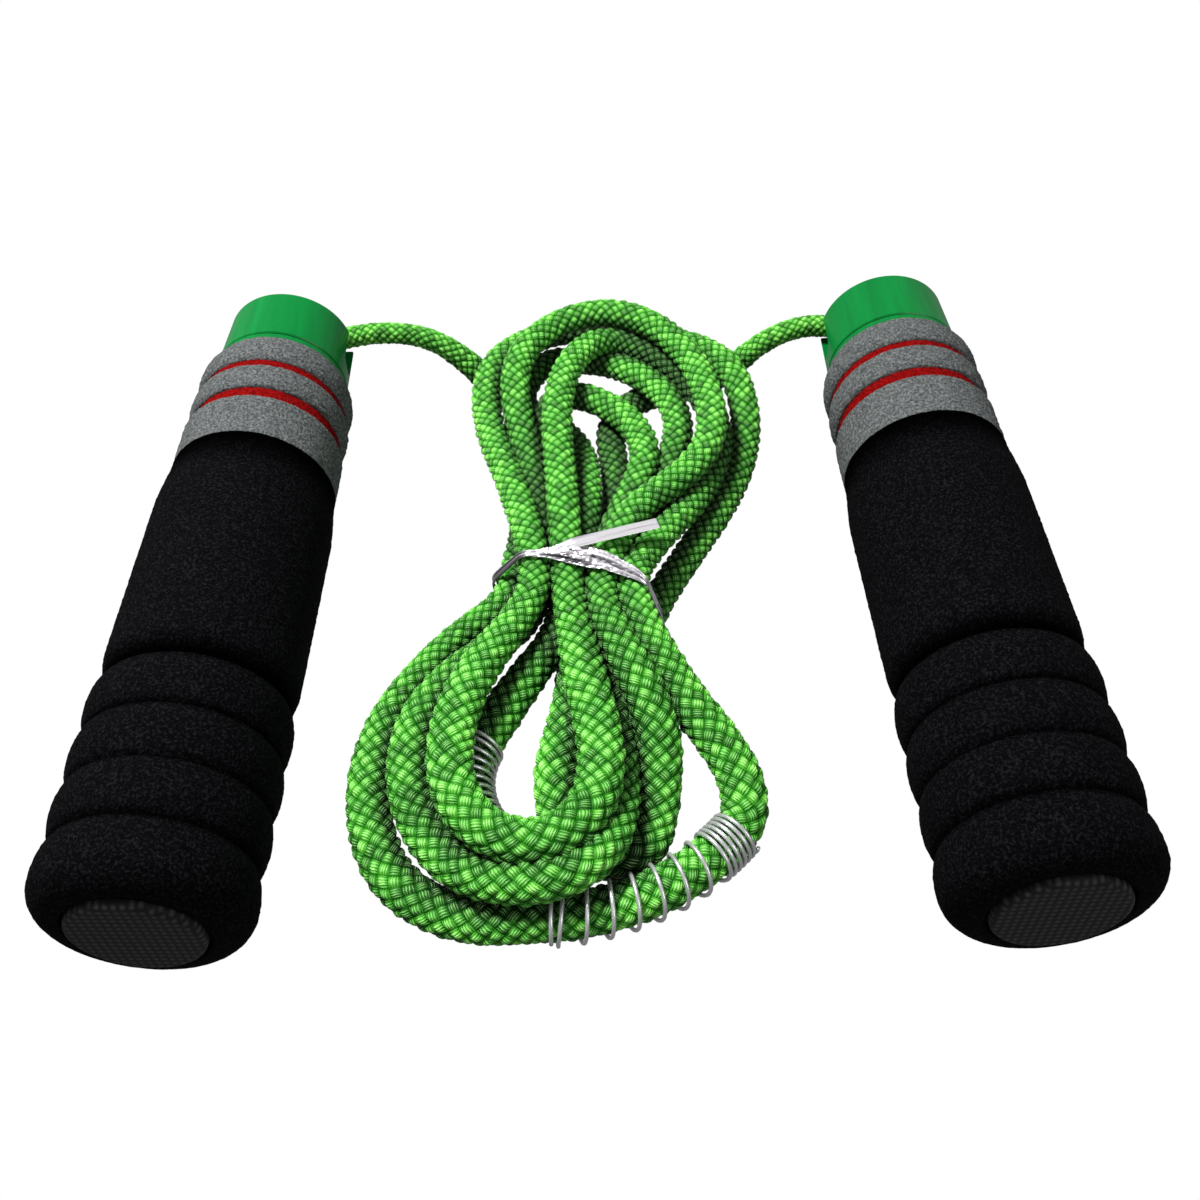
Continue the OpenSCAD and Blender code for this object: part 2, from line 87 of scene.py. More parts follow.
# ------------------------------------------------------------------ materials
class Graph:
    """Short way to write a node material."""

    def __init__(self, name, **principled):
        self.material = bpy.data.materials.new(name)
        self.material.use_nodes = True
        self.tree = self.material.node_tree
        self.bsdf = self.tree.nodes["Principled BSDF"]
        for key, value in principled.items():
            self.bsdf.inputs[key.replace("_", " ")].default_value = value

    def node(self, kind, values=None, **settings):
        made = self.tree.nodes.new("ShaderNode" + kind)
        for key, value in settings.items():
            setattr(made, key, value)
        for key, value in (values or {}).items():
            if hasattr(value, "is_linked"):
                self.tree.links.new(value, made.inputs[key])
            else:
                made.inputs[key].default_value = value
        return made

    def math(self, operation, a, b=0.0, c=0.0):
        return self.node("Math", {0: a, 1: b, 2: c}, operation=operation).outputs[0]

    def noise(self, scale, detail=2.0, roughness=0.5, vector=None):
        values = {"Scale": scale, "Detail": detail, "Roughness": roughness}
        values["Vector"] = vector or self.here()
        return self.node("TexNoise", values).outputs["Fac"]

    def here(self):
        """The place on the object."""
        return self.node("TexCoord").outputs["Object"]

    def ramp(self, factor, stops, interpolation="LINEAR"):
        made = self.node("ValToRGB", {"Fac": factor})
        made.color_ramp.interpolation = interpolation
        points = made.color_ramp.elements
        while len(points) < len(stops):
            points.new(0.5)
        for point, (place, colour) in zip(points, stops):
            point.position = place
            point.color = (*colour, 1)
        return made.outputs["Color"]

    def mix(self, factor, a, b, blend="MIX"):
        made = self.node("Mix", data_type="RGBA", blend_type=blend)
        for index, value in ((0, factor), (6, a), (7, b)):
            if hasattr(value, "is_linked"):
                self.tree.links.new(value, made.inputs[index])
            elif index:
                made.inputs[index].default_value = (*value, 1)
            else:
                made.inputs[index].default_value = value
        return made.outputs[2]

    def bump(self, height, distance_mm, strength=1.0):
        made = self.node("Bump", {"Height": height, "Strength": strength,
                                  "Distance": distance_mm * MM})
        self.tree.links.new(made.outputs["Normal"], self.bsdf.inputs["Normal"])

    def set(self, key, value):
        self.tree.links.new(value, self.bsdf.inputs[key])


def foam_material(name, dark, base, light, fleck, shine=0.12, spread=0.135, paint_groove_shade=False):
    """Closed-cell foam: fine pores and flecks over a soft cloudy tone; grooved foam gets painted
    shade down in its grooves and a painted highlight on its ridges.
    """
    g = Graph(name, Roughness=0.9, Specular_IOR_Level=shine)
    grain = g.noise(1700, 3, 0.7)
    cloud = g.noise(240, 2, 0.5)
    colour = g.ramp(grain, [(0.5 - spread, dark), (0.5, base), (0.5 + spread, light)])
    pore = g.node("TexVoronoi", {"Scale": 1500, "Vector": g.here()}).outputs["Distance"]
    pits = g.math("LESS_THAN", pore, 0.24)
    colour = g.mix(g.math("MULTIPLY", pits, fleck), colour, dark)
    colour = g.mix(g.math("MULTIPLY", cloud, 0.3), colour, base)
    if paint_groove_shade:
        # painted shade and highlight: colour darkened in the grooves and lightened on the ridge tops,
        # gloss taken out of the grooves too
        proud = g.node("Attribute", attribute_name="proud").outputs["Fac"]
        shade = g.ramp(proud, [(0.1, (0.12, 0.12, 0.12)), (0.55, (0.9, 0.9, 0.9)),
                               (1.0, (1.5, 1.5, 1.5))])
        colour = g.mix(1.0, colour, shade, "MULTIPLY")
        g.set("Specular IOR Level", g.math("MULTIPLY", proud, shine))
    g.set("Base Color", colour)
    g.bump(g.math("SUBTRACT", grain, g.math("MULTIPLY", pits, 0.3)), 0.4)
    return g.material


def plastic_material(name, colour, rim_reflection_colour, roughness, shine=0.3, coat=0.12):
    """Moulded glossy plastic with faint flow streaks along the handle, and a painted reflection that
    turns its colour lighter towards its outlines as seen from the camera.
    """
    g = Graph(name, Roughness=roughness, Specular_IOR_Level=shine, Coat_Weight=coat,
              Coat_Roughness=0.06)
    facing = g.node("LayerWeight", {"Blend": 0.3}).outputs["Facing"]
    lengthwise = g.node("Mapping", {"Vector": g.here(), "Scale": (1.0, 0.06, 1.0)})
    streak = g.noise(330, 2, 0.6, lengthwise.outputs["Vector"])
    # painted reflection: colour shifts to the lighter rim colour where the surface turns away from
    # the camera
    base = g.mix(g.math("POWER", facing, 1.6), colour, rim_reflection_colour)
    shade = g.ramp(streak, [(0.3, (0.86, 0.86, 0.86)), (0.7, (1.1, 1.1, 1.1))])
    g.set("Base Color", g.mix(1.0, base, shade, "MULTIPLY"))
    g.set("Roughness", g.math("MULTIPLY_ADD", g.noise(700, 2), 0.1, roughness))
    g.bump(streak, 0.04, 0.5)
    return g.material


def plug_material():
    """Dark satin plastic with a fine square pebble moulded into it, with painted shade in the
    pebble's hollows and painted light on its tops.
    """
    g = Graph("plug", Roughness=0.6, Specular_IOR_Level=0.12)
    split = g.node("SeparateXYZ", {"Vector": g.here()})
    cells = []
    for axis in ("X", "Z"):
        wave = g.math("SINE", g.math("MULTIPLY", split.outputs[axis], 4200))
        cells.append(g.math("MULTIPLY_ADD", wave, 0.5, 0.5))
    pebble = g.math("MULTIPLY", *cells)
    # painted shade and light: pebble hollows nearly black, pebble tops lighter
    colour = g.ramp(pebble, [(0.05, (0.01, 0.01, 0.0105)), (0.8, (0.05, 0.0505, 0.051))])
    worn = g.math("MULTIPLY", g.noise(900), 0.4)
    g.set("Base Color", g.mix(worn, colour, (0.008, 0.0083, 0.0086)))
    g.bump(pebble, 0.12)
    return g.material


def steel_material(name, colour, roughness):
    """Drawn metal with a fine streak."""
    g = Graph(name, Metallic=0.7)
    streak = g.noise(2600, 2)
    g.set("Base Color", g.mix(streak, colour, tuple(0.7 * c for c in colour)))
    g.set("Roughness", g.math("MULTIPLY_ADD", streak, 0.15, roughness))
    g.bump(streak, 0.01)
    return g.material


def rope_material():
    """Braid of shiny filaments with fine filaments running along its strand. Its colour is mostly
    painted light: painted shade where a cell dives under its neighbours and a painted highlight on
    its crown, painted shade where the rope lies under its other strands, a random tone per cell whose
    brightest cells are whitened into painted glints, painted glints along the filament crests, and
    painted shade between the filaments."""
    g = Graph("braid", Specular_IOR_Level=0.22)
    uv = g.node("SeparateXYZ", {"Vector": g.node("UVMap", uv_map="cell").outputs["UV"]})
    tone = g.node("Attribute", attribute_name="tone").outputs["Fac"]
    across, along = uv.outputs["X"], uv.outputs["Y"]

    def hump(v, power):
        return g.math("POWER", g.math("SINE", g.math("MULTIPLY", v, math.pi)), power)
    wobble = g.math("MULTIPLY", g.noise(1100, 3, 0.6), 5.0)
    wave = g.math("SINE", g.math("MULTIPLY_ADD", across, 31.0, wobble))
    filament = g.math("MULTIPLY_ADD", wave, 0.5, 0.5)
    crown = g.math("MULTIPLY", hump(across, 0.3), hump(along, 0.6))
    # painted shade and highlight: dark green where a cell dives under its neighbours, bright on its
    # crown
    colour = g.ramp(crown, [(0.0, (0.008, 0.12, 0.003)), (0.3, (0.022, 0.23, 0.007)),
                            (0.65, (0.06, 0.39, 0.02)), (1.0, (0.17, 0.68, 0.08))])
    # painted shade from the rope lying under its other strands, set once at rest in braid; lighter on
    # the top strands
    lit = g.node("Attribute", attribute_name="open").outputs["Fac"]
    painted_depth_shade = g.ramp(lit, [(0.1, (0.03, 0.07, 0.02)), (0.38, (0.36, 0.5, 0.33)),
                        (0.6, (0.8, 0.86, 0.8)), (0.95, (1.2, 1.12, 1.2))])
    colour = g.mix(1.0, colour, painted_depth_shade, "MULTIPLY")
    # random tone per cell; its brightest cells are whitened as painted glints
    random_tone_and_glint = g.ramp(tone, [(0.0, (0.26, 0.38, 0.22)), (0.5, (0.9, 0.92, 0.9)),
                           (1.0, (2.3, 1.5, 2.3))])
    colour = g.mix(1.0, colour, random_tone_and_glint, "MULTIPLY")
    glint = g.math("MULTIPLY", g.math("POWER", filament, 3.0), g.math("POWER", crown, 2.0))
    colour = g.mix(g.math("MULTIPLY", glint, 0.5), colour, (0.42, 0.82, 0.3))
    # painted shade in the grooves between filaments
    filament_gap_shade = g.math("MULTIPLY", g.math("POWER", g.math("SUBTRACT", 1.0, filament), 2.0), 0.5)
    colour = g.mix(filament_gap_shade, colour, (0.002, 0.05, 0.002))
    g.set("Base Color", colour)
    g.set("Specular IOR Level", g.math("MULTIPLY", g.math("POWER", crown, 1.5), 0.25))
    g.set("Roughness", g.math("MULTIPLY_ADD", filament, -0.14, 0.46))
    g.bump(filament, 0.12)
    return g.material


def foil_material():
    """Bright foil whose creases catch painted dark and light: its colour runs from dark grey to white
    along a painted shade value.
    """
    g = Graph("foil", Metallic=0.75, Roughness=0.24)
    crease = g.node("Attribute", attribute_name="shade").outputs["Fac"]
    g.set("Base Color", g.ramp(crease, [(0.0, (0.1, 0.09, 0.1)), (0.4, (0.5, 0.47, 0.52)),
                                        (0.65, (0.93, 0.9, 0.96)), (1.0, (1.0, 0.98, 1.0))]))
    g.bump(g.noise(800, 3), 0.12, 0.5)
    return g.material


MATERIALS = {
    "black_foam": foam_material("black_foam", (0.0002, 0.0002, 0.0003), (0.0007, 0.0007, 0.001),
                                (0.0062, 0.0062, 0.0075), 0.8, 0.035, paint_groove_shade=True),
    "grey_foam": foam_material("grey_foam", (0.02, 0.022, 0.023), (0.084, 0.09, 0.09),
                               (0.19, 0.203, 0.2), 0.7, spread=0.17),
    "red_foam": foam_material("red_foam", (0.06, 0.0, 0.0), (0.16, 0.001, 0.001),
                              (0.25, 0.003, 0.003), 0.4, 0.05),
    # the second colour of each plastic is its painted rim reflection
    "green_plastic": plastic_material("green_plastic", (0.0, 0.138, 0.023),
                                      (0.001, 0.21, 0.044), 0.2, 0.2, 0.06),
    "dark_plastic": plug_material(),
    "bright_steel": steel_material("bright_steel", (0.86, 0.86, 0.88), 0.2),
    "crimp_brass": steel_material("crimp_brass", (0.7, 0.48, 0.2), 0.3),
    "cage_nylon": plastic_material("cage_nylon", (0.55, 0.53, 0.48), (0.7, 0.69, 0.66), 0.4),
    "green_rope": rope_material(),
    "tie_foil": foil_material(),
}
SLOT = {s["node"]: s["material_slot"] for s in frame["record"]["subparts"]}
for node, thing in frame["nodes"].items():
    thing.data.materials.clear()
    thing.data.materials.append(MATERIALS[SLOT[node]])


# ------------------------------------------------------------------ mesh helpers
def mesh_object(name, points_mm, faces, slot, smooth=True):
    mesh = bpy.data.meshes.new(name)
    mesh.from_pydata((np.asarray(points_mm) * MM).tolist(), [], faces)
    mesh.validate()
    mesh.polygons.foreach_set("use_smooth", [smooth] * len(mesh.polygons))
    mesh.materials.append(MATERIALS[slot])
    made = bpy.data.objects.new(name, mesh)
    bpy.context.scene.collection.objects.link(made)
    return made


def ring_faces(rings, sides, close_ends, close_loop=False):
    """Quads between rings of points, and end caps."""
    faces = []
    last = rings if close_loop else rings - 1
    for i in range(last):
        a, b = i * sides, (i + 1) % rings * sides
        faces += [(a + k, a + (k + 1) % sides, b + (k + 1) % sides, b + k) for k in range(sides)]
    if close_ends:
        faces += [tuple(range(sides))[::-1], tuple(range((rings - 1) * sides, rings * sides))]
    return faces


def stand_in(obj, node):
    """obj takes over from a CAD node, on the same body."""
    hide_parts(node)
    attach(obj, frame["nodes"][node]["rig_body"])


# ------------------------------------------------------------------ foam
GRIP = 108.0
RED_A, RING, RED_B, NOSE, NOSE_END = 120.4, 123.7, 131.0, 133.2, 142.6
BULB, WAIST, GREY, RED, GROOVE = 20.0, 19.4, 18.3, 17.0, 18.2
GROOVE_1, PITCH = 13.6, 11.4
GROOVE_4 = GROOVE_1 + 3 * PITCH
EDGE, BORE = 6.2, 13.05
BEARING_Z = 141.4


def smooth(v):
    t = np.clip(v, 0, 1)
    return t * t * (3 - 2 * t)


def grip_radius(z):
    bulb = np.where(z < EDGE, BULB - EDGE * (1 - np.sqrt(np.maximum(0, 1 - (1 - z / EDGE) ** 2))),
                    BULB - (BULB - GROOVE) * np.clip((z - EDGE) / (GROOVE_1 - EDGE), 0, 1) ** 3)
    turn = np.abs(np.sin(math.pi * (z - GROOVE_1) / PITCH))
    ridge = GROOVE + (BULB - 0.1 - GROOVE) * turn ** 0.5
    waist = (GROOVE + (WAIST - GROOVE) * smooth((z - GROOVE_4) / 7)
             - (WAIST - GREY) * smooth((z - GRIP + 14) / 14))
    return np.where(z < GROOVE_1, bulb, np.where(z < GROOVE_4, ridge, waist))


def handle_matrix(side):
    """The handle's own axes in the row frame: Z from butt to head, X towards the rope slot."""
    joint = JOINTS[side + "_handle_spin"]
    axis = np.array(joint["axis"])
    out = np.array([axis[1], -axis[0], 0.0]) * (1 if side == "left" else -1)
    out /= np.linalg.norm(out)
    base = np.array(joint["pos_m"]) / MM - BEARING_Z * axis
    return base, np.column_stack([out, np.cross(axis, out), axis])


def foam_sleeve(name, side, slot, profile, grain, seed):
    """Revolves an outline of (radius, z) and roughens its skin like cut foam."""
    rng = np.random.default_rng(seed)
    profile = np.asarray(profile)
    sides = 240
    angle = np.linspace(0, 2 * math.pi, sides, endpoint=False)
    rough = rng.normal(size=(len(profile), sides))
    rough = rough + 0.5 * (np.roll(rough, 1, 1) + np.roll(rough, -1, 1))
    rough *= grain * (profile[:, :1] > BORE + 0.1)
    radius = profile[:, :1] + rough
    local = np.stack([radius * np.cos(angle), radius * np.sin(angle),
                      np.broadcast_to(profile[:, 1:], radius.shape)], axis=2)
    base, axes = handle_matrix(side)
    points = local.reshape(-1, 3) @ axes.T + base
    made = mesh_object(name, points, ring_faces(len(profile), sides, False, True), slot)
    # how far the skin stands out of its grooves (1 on the butt); it sets the painted groove shade and
    # ridge highlight of the black foam
    proud = np.where(profile[:, 1] < 8, 1.0, np.clip((profile[:, 0] - GROOVE) / 1.1, 0, 1))
    made.data.attributes.new("proud", "FLOAT", "POINT").data.foreach_set(
        "value", np.repeat(proud, sides))
    stand_in(made, name)
    return made


def spaced(outline, step):
    """Extra points along an outline so that its grain has somewhere to sit."""
    points = []
    outline = np.asarray(outline, float)
    for a, b in zip(outline, np.roll(outline, -1, 0)):
        n = max(1, int(math.ceil(np.linalg.norm(b - a) / step))) if min(a[0], b[0]) > BORE else 1
        points += [a + (b - a) * k / n for k in range(n)]
    return points


def arc(x, y, r, a0, a1, n=6):
    a = np.radians(np.linspace(a0, a1, n + 1))
    return np.column_stack([x + r * np.cos(a), y + r * np.sin(a)]).tolist()


grip_z = np.concatenate([EDGE * (1 - np.cos(np.radians(np.arange(0, 90, 6)))),
                         np.arange(EDGE, GRIP, 0.55), [GRIP]])
grip_line = [[BORE, 0]] + [[float(r), float(z)] for r, z in zip(grip_radius(grip_z), grip_z)] \
    + [[BORE, GRIP]]
bulge = [[RED + (GREY - RED) * max(0.0, math.cos(math.radians(a))) ** 0.8,
          (RING + RED_B) / 2 + (RED_B - RING) / 2 * math.sin(math.radians(a))]
         for a in range(-90, 91, 10)]
nose = [[RED + (GREY - 0.1 - RED) * math.cos(math.radians(a)),
         NOSE + 3.2 * (1 + math.sin(math.radians(a)))] for a in range(-90, 1, 10)]
band_edge, nose_edge = 1.3, 1.6     # radii of the rounded rims
band = ([[BORE, GRIP], [GREY, GRIP]]
        + arc(GREY - band_edge, RED_A - band_edge, band_edge, 0, 90) + [[BORE, RED_A]])
nose = ([[BORE, NOSE]] + nose + [[GREY - 0.2, NOSE + 4.6], [GREY - 0.7, NOSE + 6.4]]
        + arc(GREY - 3, NOSE_END - nose_edge, nose_edge, 25, 90, 5) + [[BORE, NOSE_END]])


def red_ring(z0, z1):
    return [[BORE, z0], [RED, z0], [RED, z1], [BORE, z1]]


# name, material, outline, spacing of points, grain
FOAM = [("black_grip", "black_foam", grip_line, 0.7, 0.035),
        ("grey_band", "grey_foam", band, 0.45, 0.055),
        ("red_ring_rear", "red_foam", red_ring(RED_A - 0.6, RING + 0.4), 0.45, 0.035),
        ("grey_ring", "grey_foam", [[BORE, RING]] + bulge + [[BORE, RED_B]], 0.45, 0.055),
        ("red_ring_front", "red_foam", red_ring(RED_B - 0.4, NOSE + 0.3), 0.45, 0.035),
        ("grey_nose", "grey_foam", nose, 0.45, 0.055)]
for side, seed in (("left", 10), ("right", 20)):
    for k, (name, slot, outline, step, grain) in enumerate(FOAM):
        foam_sleeve(side + "_" + name, side, slot, spaced(outline, step), grain, seed + k)


# ------------------------------------------------------------------ rope path
def fan(cx, cy, r, a0, a1, z0, z1, n):
    """Knots along an arc that climbs from z0 to z1."""
    t = np.linspace(0, 1, n + 1)
    a = np.radians(a0 + (a1 - a0) * t)
    return np.column_stack([cx + r * np.cos(a), cy + r * np.sin(a), z0 + (z1 - z0) * t]).tolist()


LEAD_IN = [[-73.51, 74.83, 19], [-71.36, 76, 19.02], [-64.4, 79.8, 19.1], [-57, 83.6, 19.1],
  [-49, 84.8, 19.1], [-41.5, 84.3, 18.6], [-35, 84, 16.2], [-29, 83.2, 11.2], [-23.6, 81.2, 5.7],
  [-18.6, 77, 3.8], [-14, 72, 3.3], [-8, 66.5, 3.3], [-2, 60, 3.6], [1, 52, 5], [2, 42, 8],
  [2, 30, 10.3], [0, 15, 10.3], [-3, 0, 9.7]]
LOWER_3 = ([[-6.5, -10, 9.2], [-12.3, -18, 8.3], [-17, -25, 7.3]]
           + fan(-4.6, -42, 19.2, 150, 241, 6.8, 6.5, 5)
           + [[-9.4, -60.4, 7.3], [-5, -57.4, 8.5],
  [-5.4, -50.5, 9.4], [-6.4, -43.5, 9.7], [-4.4, -35, 9.7], [-2, -26, 9.7], [-1.2, -16, 9.6],
  [3.3, 0, 9.5]])
UPPER_E = [[5.2, 14, 10], [9.5, 25, 11], [14, 34, 12], [16.5, 43, 12], [15.5, 52, 11.3],
  [12, 59, 10.5], [7, 65, 9.8], [0.5, 69, 9.7], [-6, 67, 9.7], [-9, 59, 8.5], [-8.5, 48, 5.5],
  [-7, 37, 4], [-5, 20, 3.5], [-2.5, 0, 3.4]]
LOWER_5 = [[-2.2, -13, 3.4], [-2.2, -25, 3.3], [-4.2, -36, 3.3], [-4.6, -46, 3.3],
  [-1.4, -54.5, 3.3], [4.6, -59.5, 3.3], [10.4, -58, 3.5], [13, -51, 4.6], [14.3, -44, 6.6],
  [15, -37, 10], [13.4, -29, 14.2], [9.6, -20.5, 16.4], [5.5, -10.5, 16.4], [3.4, 0, 15.8]]
UPPER_A = [[8, 14, 15.4], [13, 24, 15.2], [21, 30, 15.4], [28.5, 37, 15.8], [33, 47, 16.3],
  [32.5, 61, 17], [28, 76, 17.3], [19, 88, 17.5], [7, 92.5, 17.5], [-6, 87, 17.5],
  [-14.5, 77, 16.5], [-15.5, 65, 14], [-12.5, 50, 11.5], [-10, 37, 10], [-9, 20, 9.6],
  [-9.3, 0, 9.6]]
LOWER_2 = [[-17, -9, 9.8], [-26, -16, 9.8], [-33.5, -26, 9.9], [-36, -38, 9.9], [-34, -50, 9.9],
  [-27.4, -61, 9.9], [-18, -66.8, 12.4], [-8, -68.4, 14.5], [-0.5, -65, 14.4], [4, -58.5, 12.6],
  [5.8, -50.5, 10.9], [5.8, -41, 10.3], [5.4, -30, 10], [6.6, -16, 9.6], [9.8, 0, 9.3]]
UPPER_C = [[11, 8, 8.2], [14.7, 20, 7.4], [18.6, 32, 7.9], [22, 42, 9.6], [25, 52, 10.1],
  [25, 61, 10.2], [21.5, 69, 10.2], [15, 76.5, 9.8], [8, 82, 8.6], [0, 83.5, 8.4],
  [-7.5, 82, 9.6], [-13.5, 74, 9.8], [-15, 62, 7.2], [-14, 50, 4.3], [-12.5, 38, 3.4],
  [-13, 24, 4.8], [-15, 11, 8.3], [-15.8, 1, 10.2]]
LOWER_4 = ([[-24, -4, 9], [-33.5, -12, 6], [-41.5, -23, 3.6], [-45, -37, 3.3],
  [-43.5, -51, 3.3], [-38, -62, 3.3], [-29.5, -68, 3.4], [-20, -71.2, 4.6]]
           + fan(-8, -21.4, 50, 266, 320, 5.7, 6.3, 6)
           + [[30.8, -48.6, 7.4], [30.2, -43, 8.5],
  [27, -36.5, 9.5], [21.8, -29, 11], [16.7, -20, 13.4], [13, -10, 15.2], [10.2, 0, 15.4]])
UPPER_B = [[13, 9, 14.2], [20, 20, 12], [28.5, 32, 9.9], [34.5, 46, 9.5], [34.5, 60, 9.8],
  [28.5, 73.5, 10.3], [20, 82.5, 10.9], [11, 86.5, 12.2], [3.5, 82, 15.4], [-2.5, 71, 16.4],
  [-5, 57, 16.3], [-4.3, 40, 16.3], [-3.2, 20, 16.3], [-3, 0, 15.8]]
LOWER_1 = [[-1.6, -12, 16.2], [0.2, -23.5, 16.3], [2.2, -34, 16.6], [3.3, -43, 16.8],
  [2.4, -51.3, 16.8], [-1.6, -58, 16.8], [-7.5, -61.5, 16.8], [-14.3, -61.3, 16.8],
  [-21.2, -57.3, 16.8], [-25.7, -49.5, 16.8], [-26.8, -40, 16.7], [-25.2, -29, 16.4],
  [-20.2, -18, 16.3], [-14, -9, 16.2], [-9.4, 0, 15.9]]
UPPER_D = [[-10.2, 11, 15.5], [-13, 25, 14], [-16.5, 39, 12], [-20.5, 52, 10.4], [-23, 66, 9.8],
  [-22, 79, 11.2], [-15, 90, 9.2], [-4, 95.5, 8.6], [8, 95.6, 8.3], [20, 91.6, 8.4],
  [32, 84.5, 11], [40.4, 74.5, 12.2], [42.5, 61, 8.6], [41, 50, 5.5], [37, 39, 4.4],
  [30.5, 27.5, 4.2], [22, 14, 3.8], [13.5, 0, 3.4]]
LOWER_6 = [[13.8, -11, 3.3], [14.4, -21, 3.3], [12.6, -29, 3.3], [8, -31.5, 3.3],
  [5.2, -25, 3.3], [4.4, -12, 3.3], [4, 0, 3.4]]
LEAD_OUT = [[5.6, 14, 3.3], [8, 28, 3.3], [9.3, 42, 3.3], [8.6, 53, 3.3], [8, 62, 3.3],
  [11.5, 69.5, 3.3], [19, 74.8, 3.3], [28, 76.6, 3.3], [35.5, 78.2, 4], [41, 79.8, 7.4],
  [46, 80.2, 12.8], [50.8, 79.8, 16.9], [56.8, 80.6, 18.8], [63.6, 80.6, 19.1], [70.6, 77.3, 19.05],
  [77.66, 73.45, 19.02], [79.81, 72.27, 19]]
SPRING_A_ARC = [-8, -21.4, 50, 266, 320]
SPRING_B_ARC = [-4.6, -42, 19.2, 150, 241]
KNOTS = np.array(LEAD_IN + LOWER_3 + UPPER_E + LOWER_5 + UPPER_A + LOWER_2 + UPPER_C
                 + LOWER_4 + UPPER_B + LOWER_1 + UPPER_D + LOWER_6 + LEAD_OUT, float)
LAST = len(KNOTS) - 1
LEFT_CUT, RIGHT_CUT = 6.0, LAST - 6.0
PADDED = np.vstack([2 * KNOTS[0] - KNOTS[1], KNOTS, 2 * KNOTS[-1] - KNOTS[-2]])


def rope_at(u):
    """Points of the cubic B-spline, for an array of knot numbers."""
    u = np.atleast_1d(u)
    i = np.minimum(np.floor(u).astype(int), LAST - 1)
    t = (u - i)[:, None]
    a, b, c, d = (PADDED[i + k] for k in range(4))
    return ((1 - t) ** 3 * a + (3 * t ** 3 - 6 * t * t + 4) * b
            + (-3 * t ** 3 + 3 * t * t + 3 * t + 1) * c + t ** 3 * d) / 6


# ------------------------------------------------------------------ braid
STRANDS, SPLIT = 8, 5       # strands each way, and steps across one woven cell
RELIEF = 0.17               # height of a woven cell over the rope radius


def half_sizes(points, u):
    """Half width and half height of the soft rope: taut at the leads, flattened below."""
    loose = smooth((-points[:, 1] - 4) / 24)
    free = smooth((np.minimum(u, LAST - u) - 5) / 4)
    return 2.65 + 1.0 * free + 0.95 * loose, 2.65 + 0.6 * free + 0.5 * loose


walk_u = np.linspace(0, LAST, LAST * 40 + 1)
walk = rope_at(walk_u)
wide, tall = half_sizes(walk, walk_u)
steps = np.linalg.norm(np.diff(walk, axis=0), axis=1)
lay = 0.8 * (wide + tall) / 2    # length of one woven cell
PHASE = np.concatenate([[0], np.cumsum(steps / ((lay[1:] + lay[:-1]) / 2))])


CELLS_PER_MM, SPAN = 1.2, 130   # grid over the floor, and how many of its cells each way
SHADE_CELLS = 3.4               # how far shade spreads


def cell(x, y):
    """Row and column of the grid at places on the floor."""
    return tuple(np.clip(np.round(v * CELLS_PER_MM).astype(int) + SPAN, 0, 2 * SPAN - 1)
                 for v in (y, x))


def upper_surface():
    """Blurred height of the rope's upper side over the floor: what lies below it is shaded."""
    top = np.zeros((2 * SPAN, 2 * SPAN))
    offsets = np.arange(-4, 4.1, 0.5)
    for dx in offsets:
        for dy in offsets:
            away = math.hypot(dx, dy) / wide
            rise = walk[:, 2] + tall * np.sqrt(np.maximum(0, 1 - away ** 2)) * (away < 1)
            np.maximum.at(top, cell(walk[:, 0] + dx, walk[:, 1] + dy),
                          np.where(away < 1, rise, 0))
    bell = np.exp(-0.5 * (np.arange(-12, 13) / SHADE_CELLS) ** 2)
    bell /= bell.sum()
    for axis in (0, 1):
        top = np.apply_along_axis(np.convolve, axis, top, bell, "same")
    return top


UPPER_SURFACE = upper_surface()


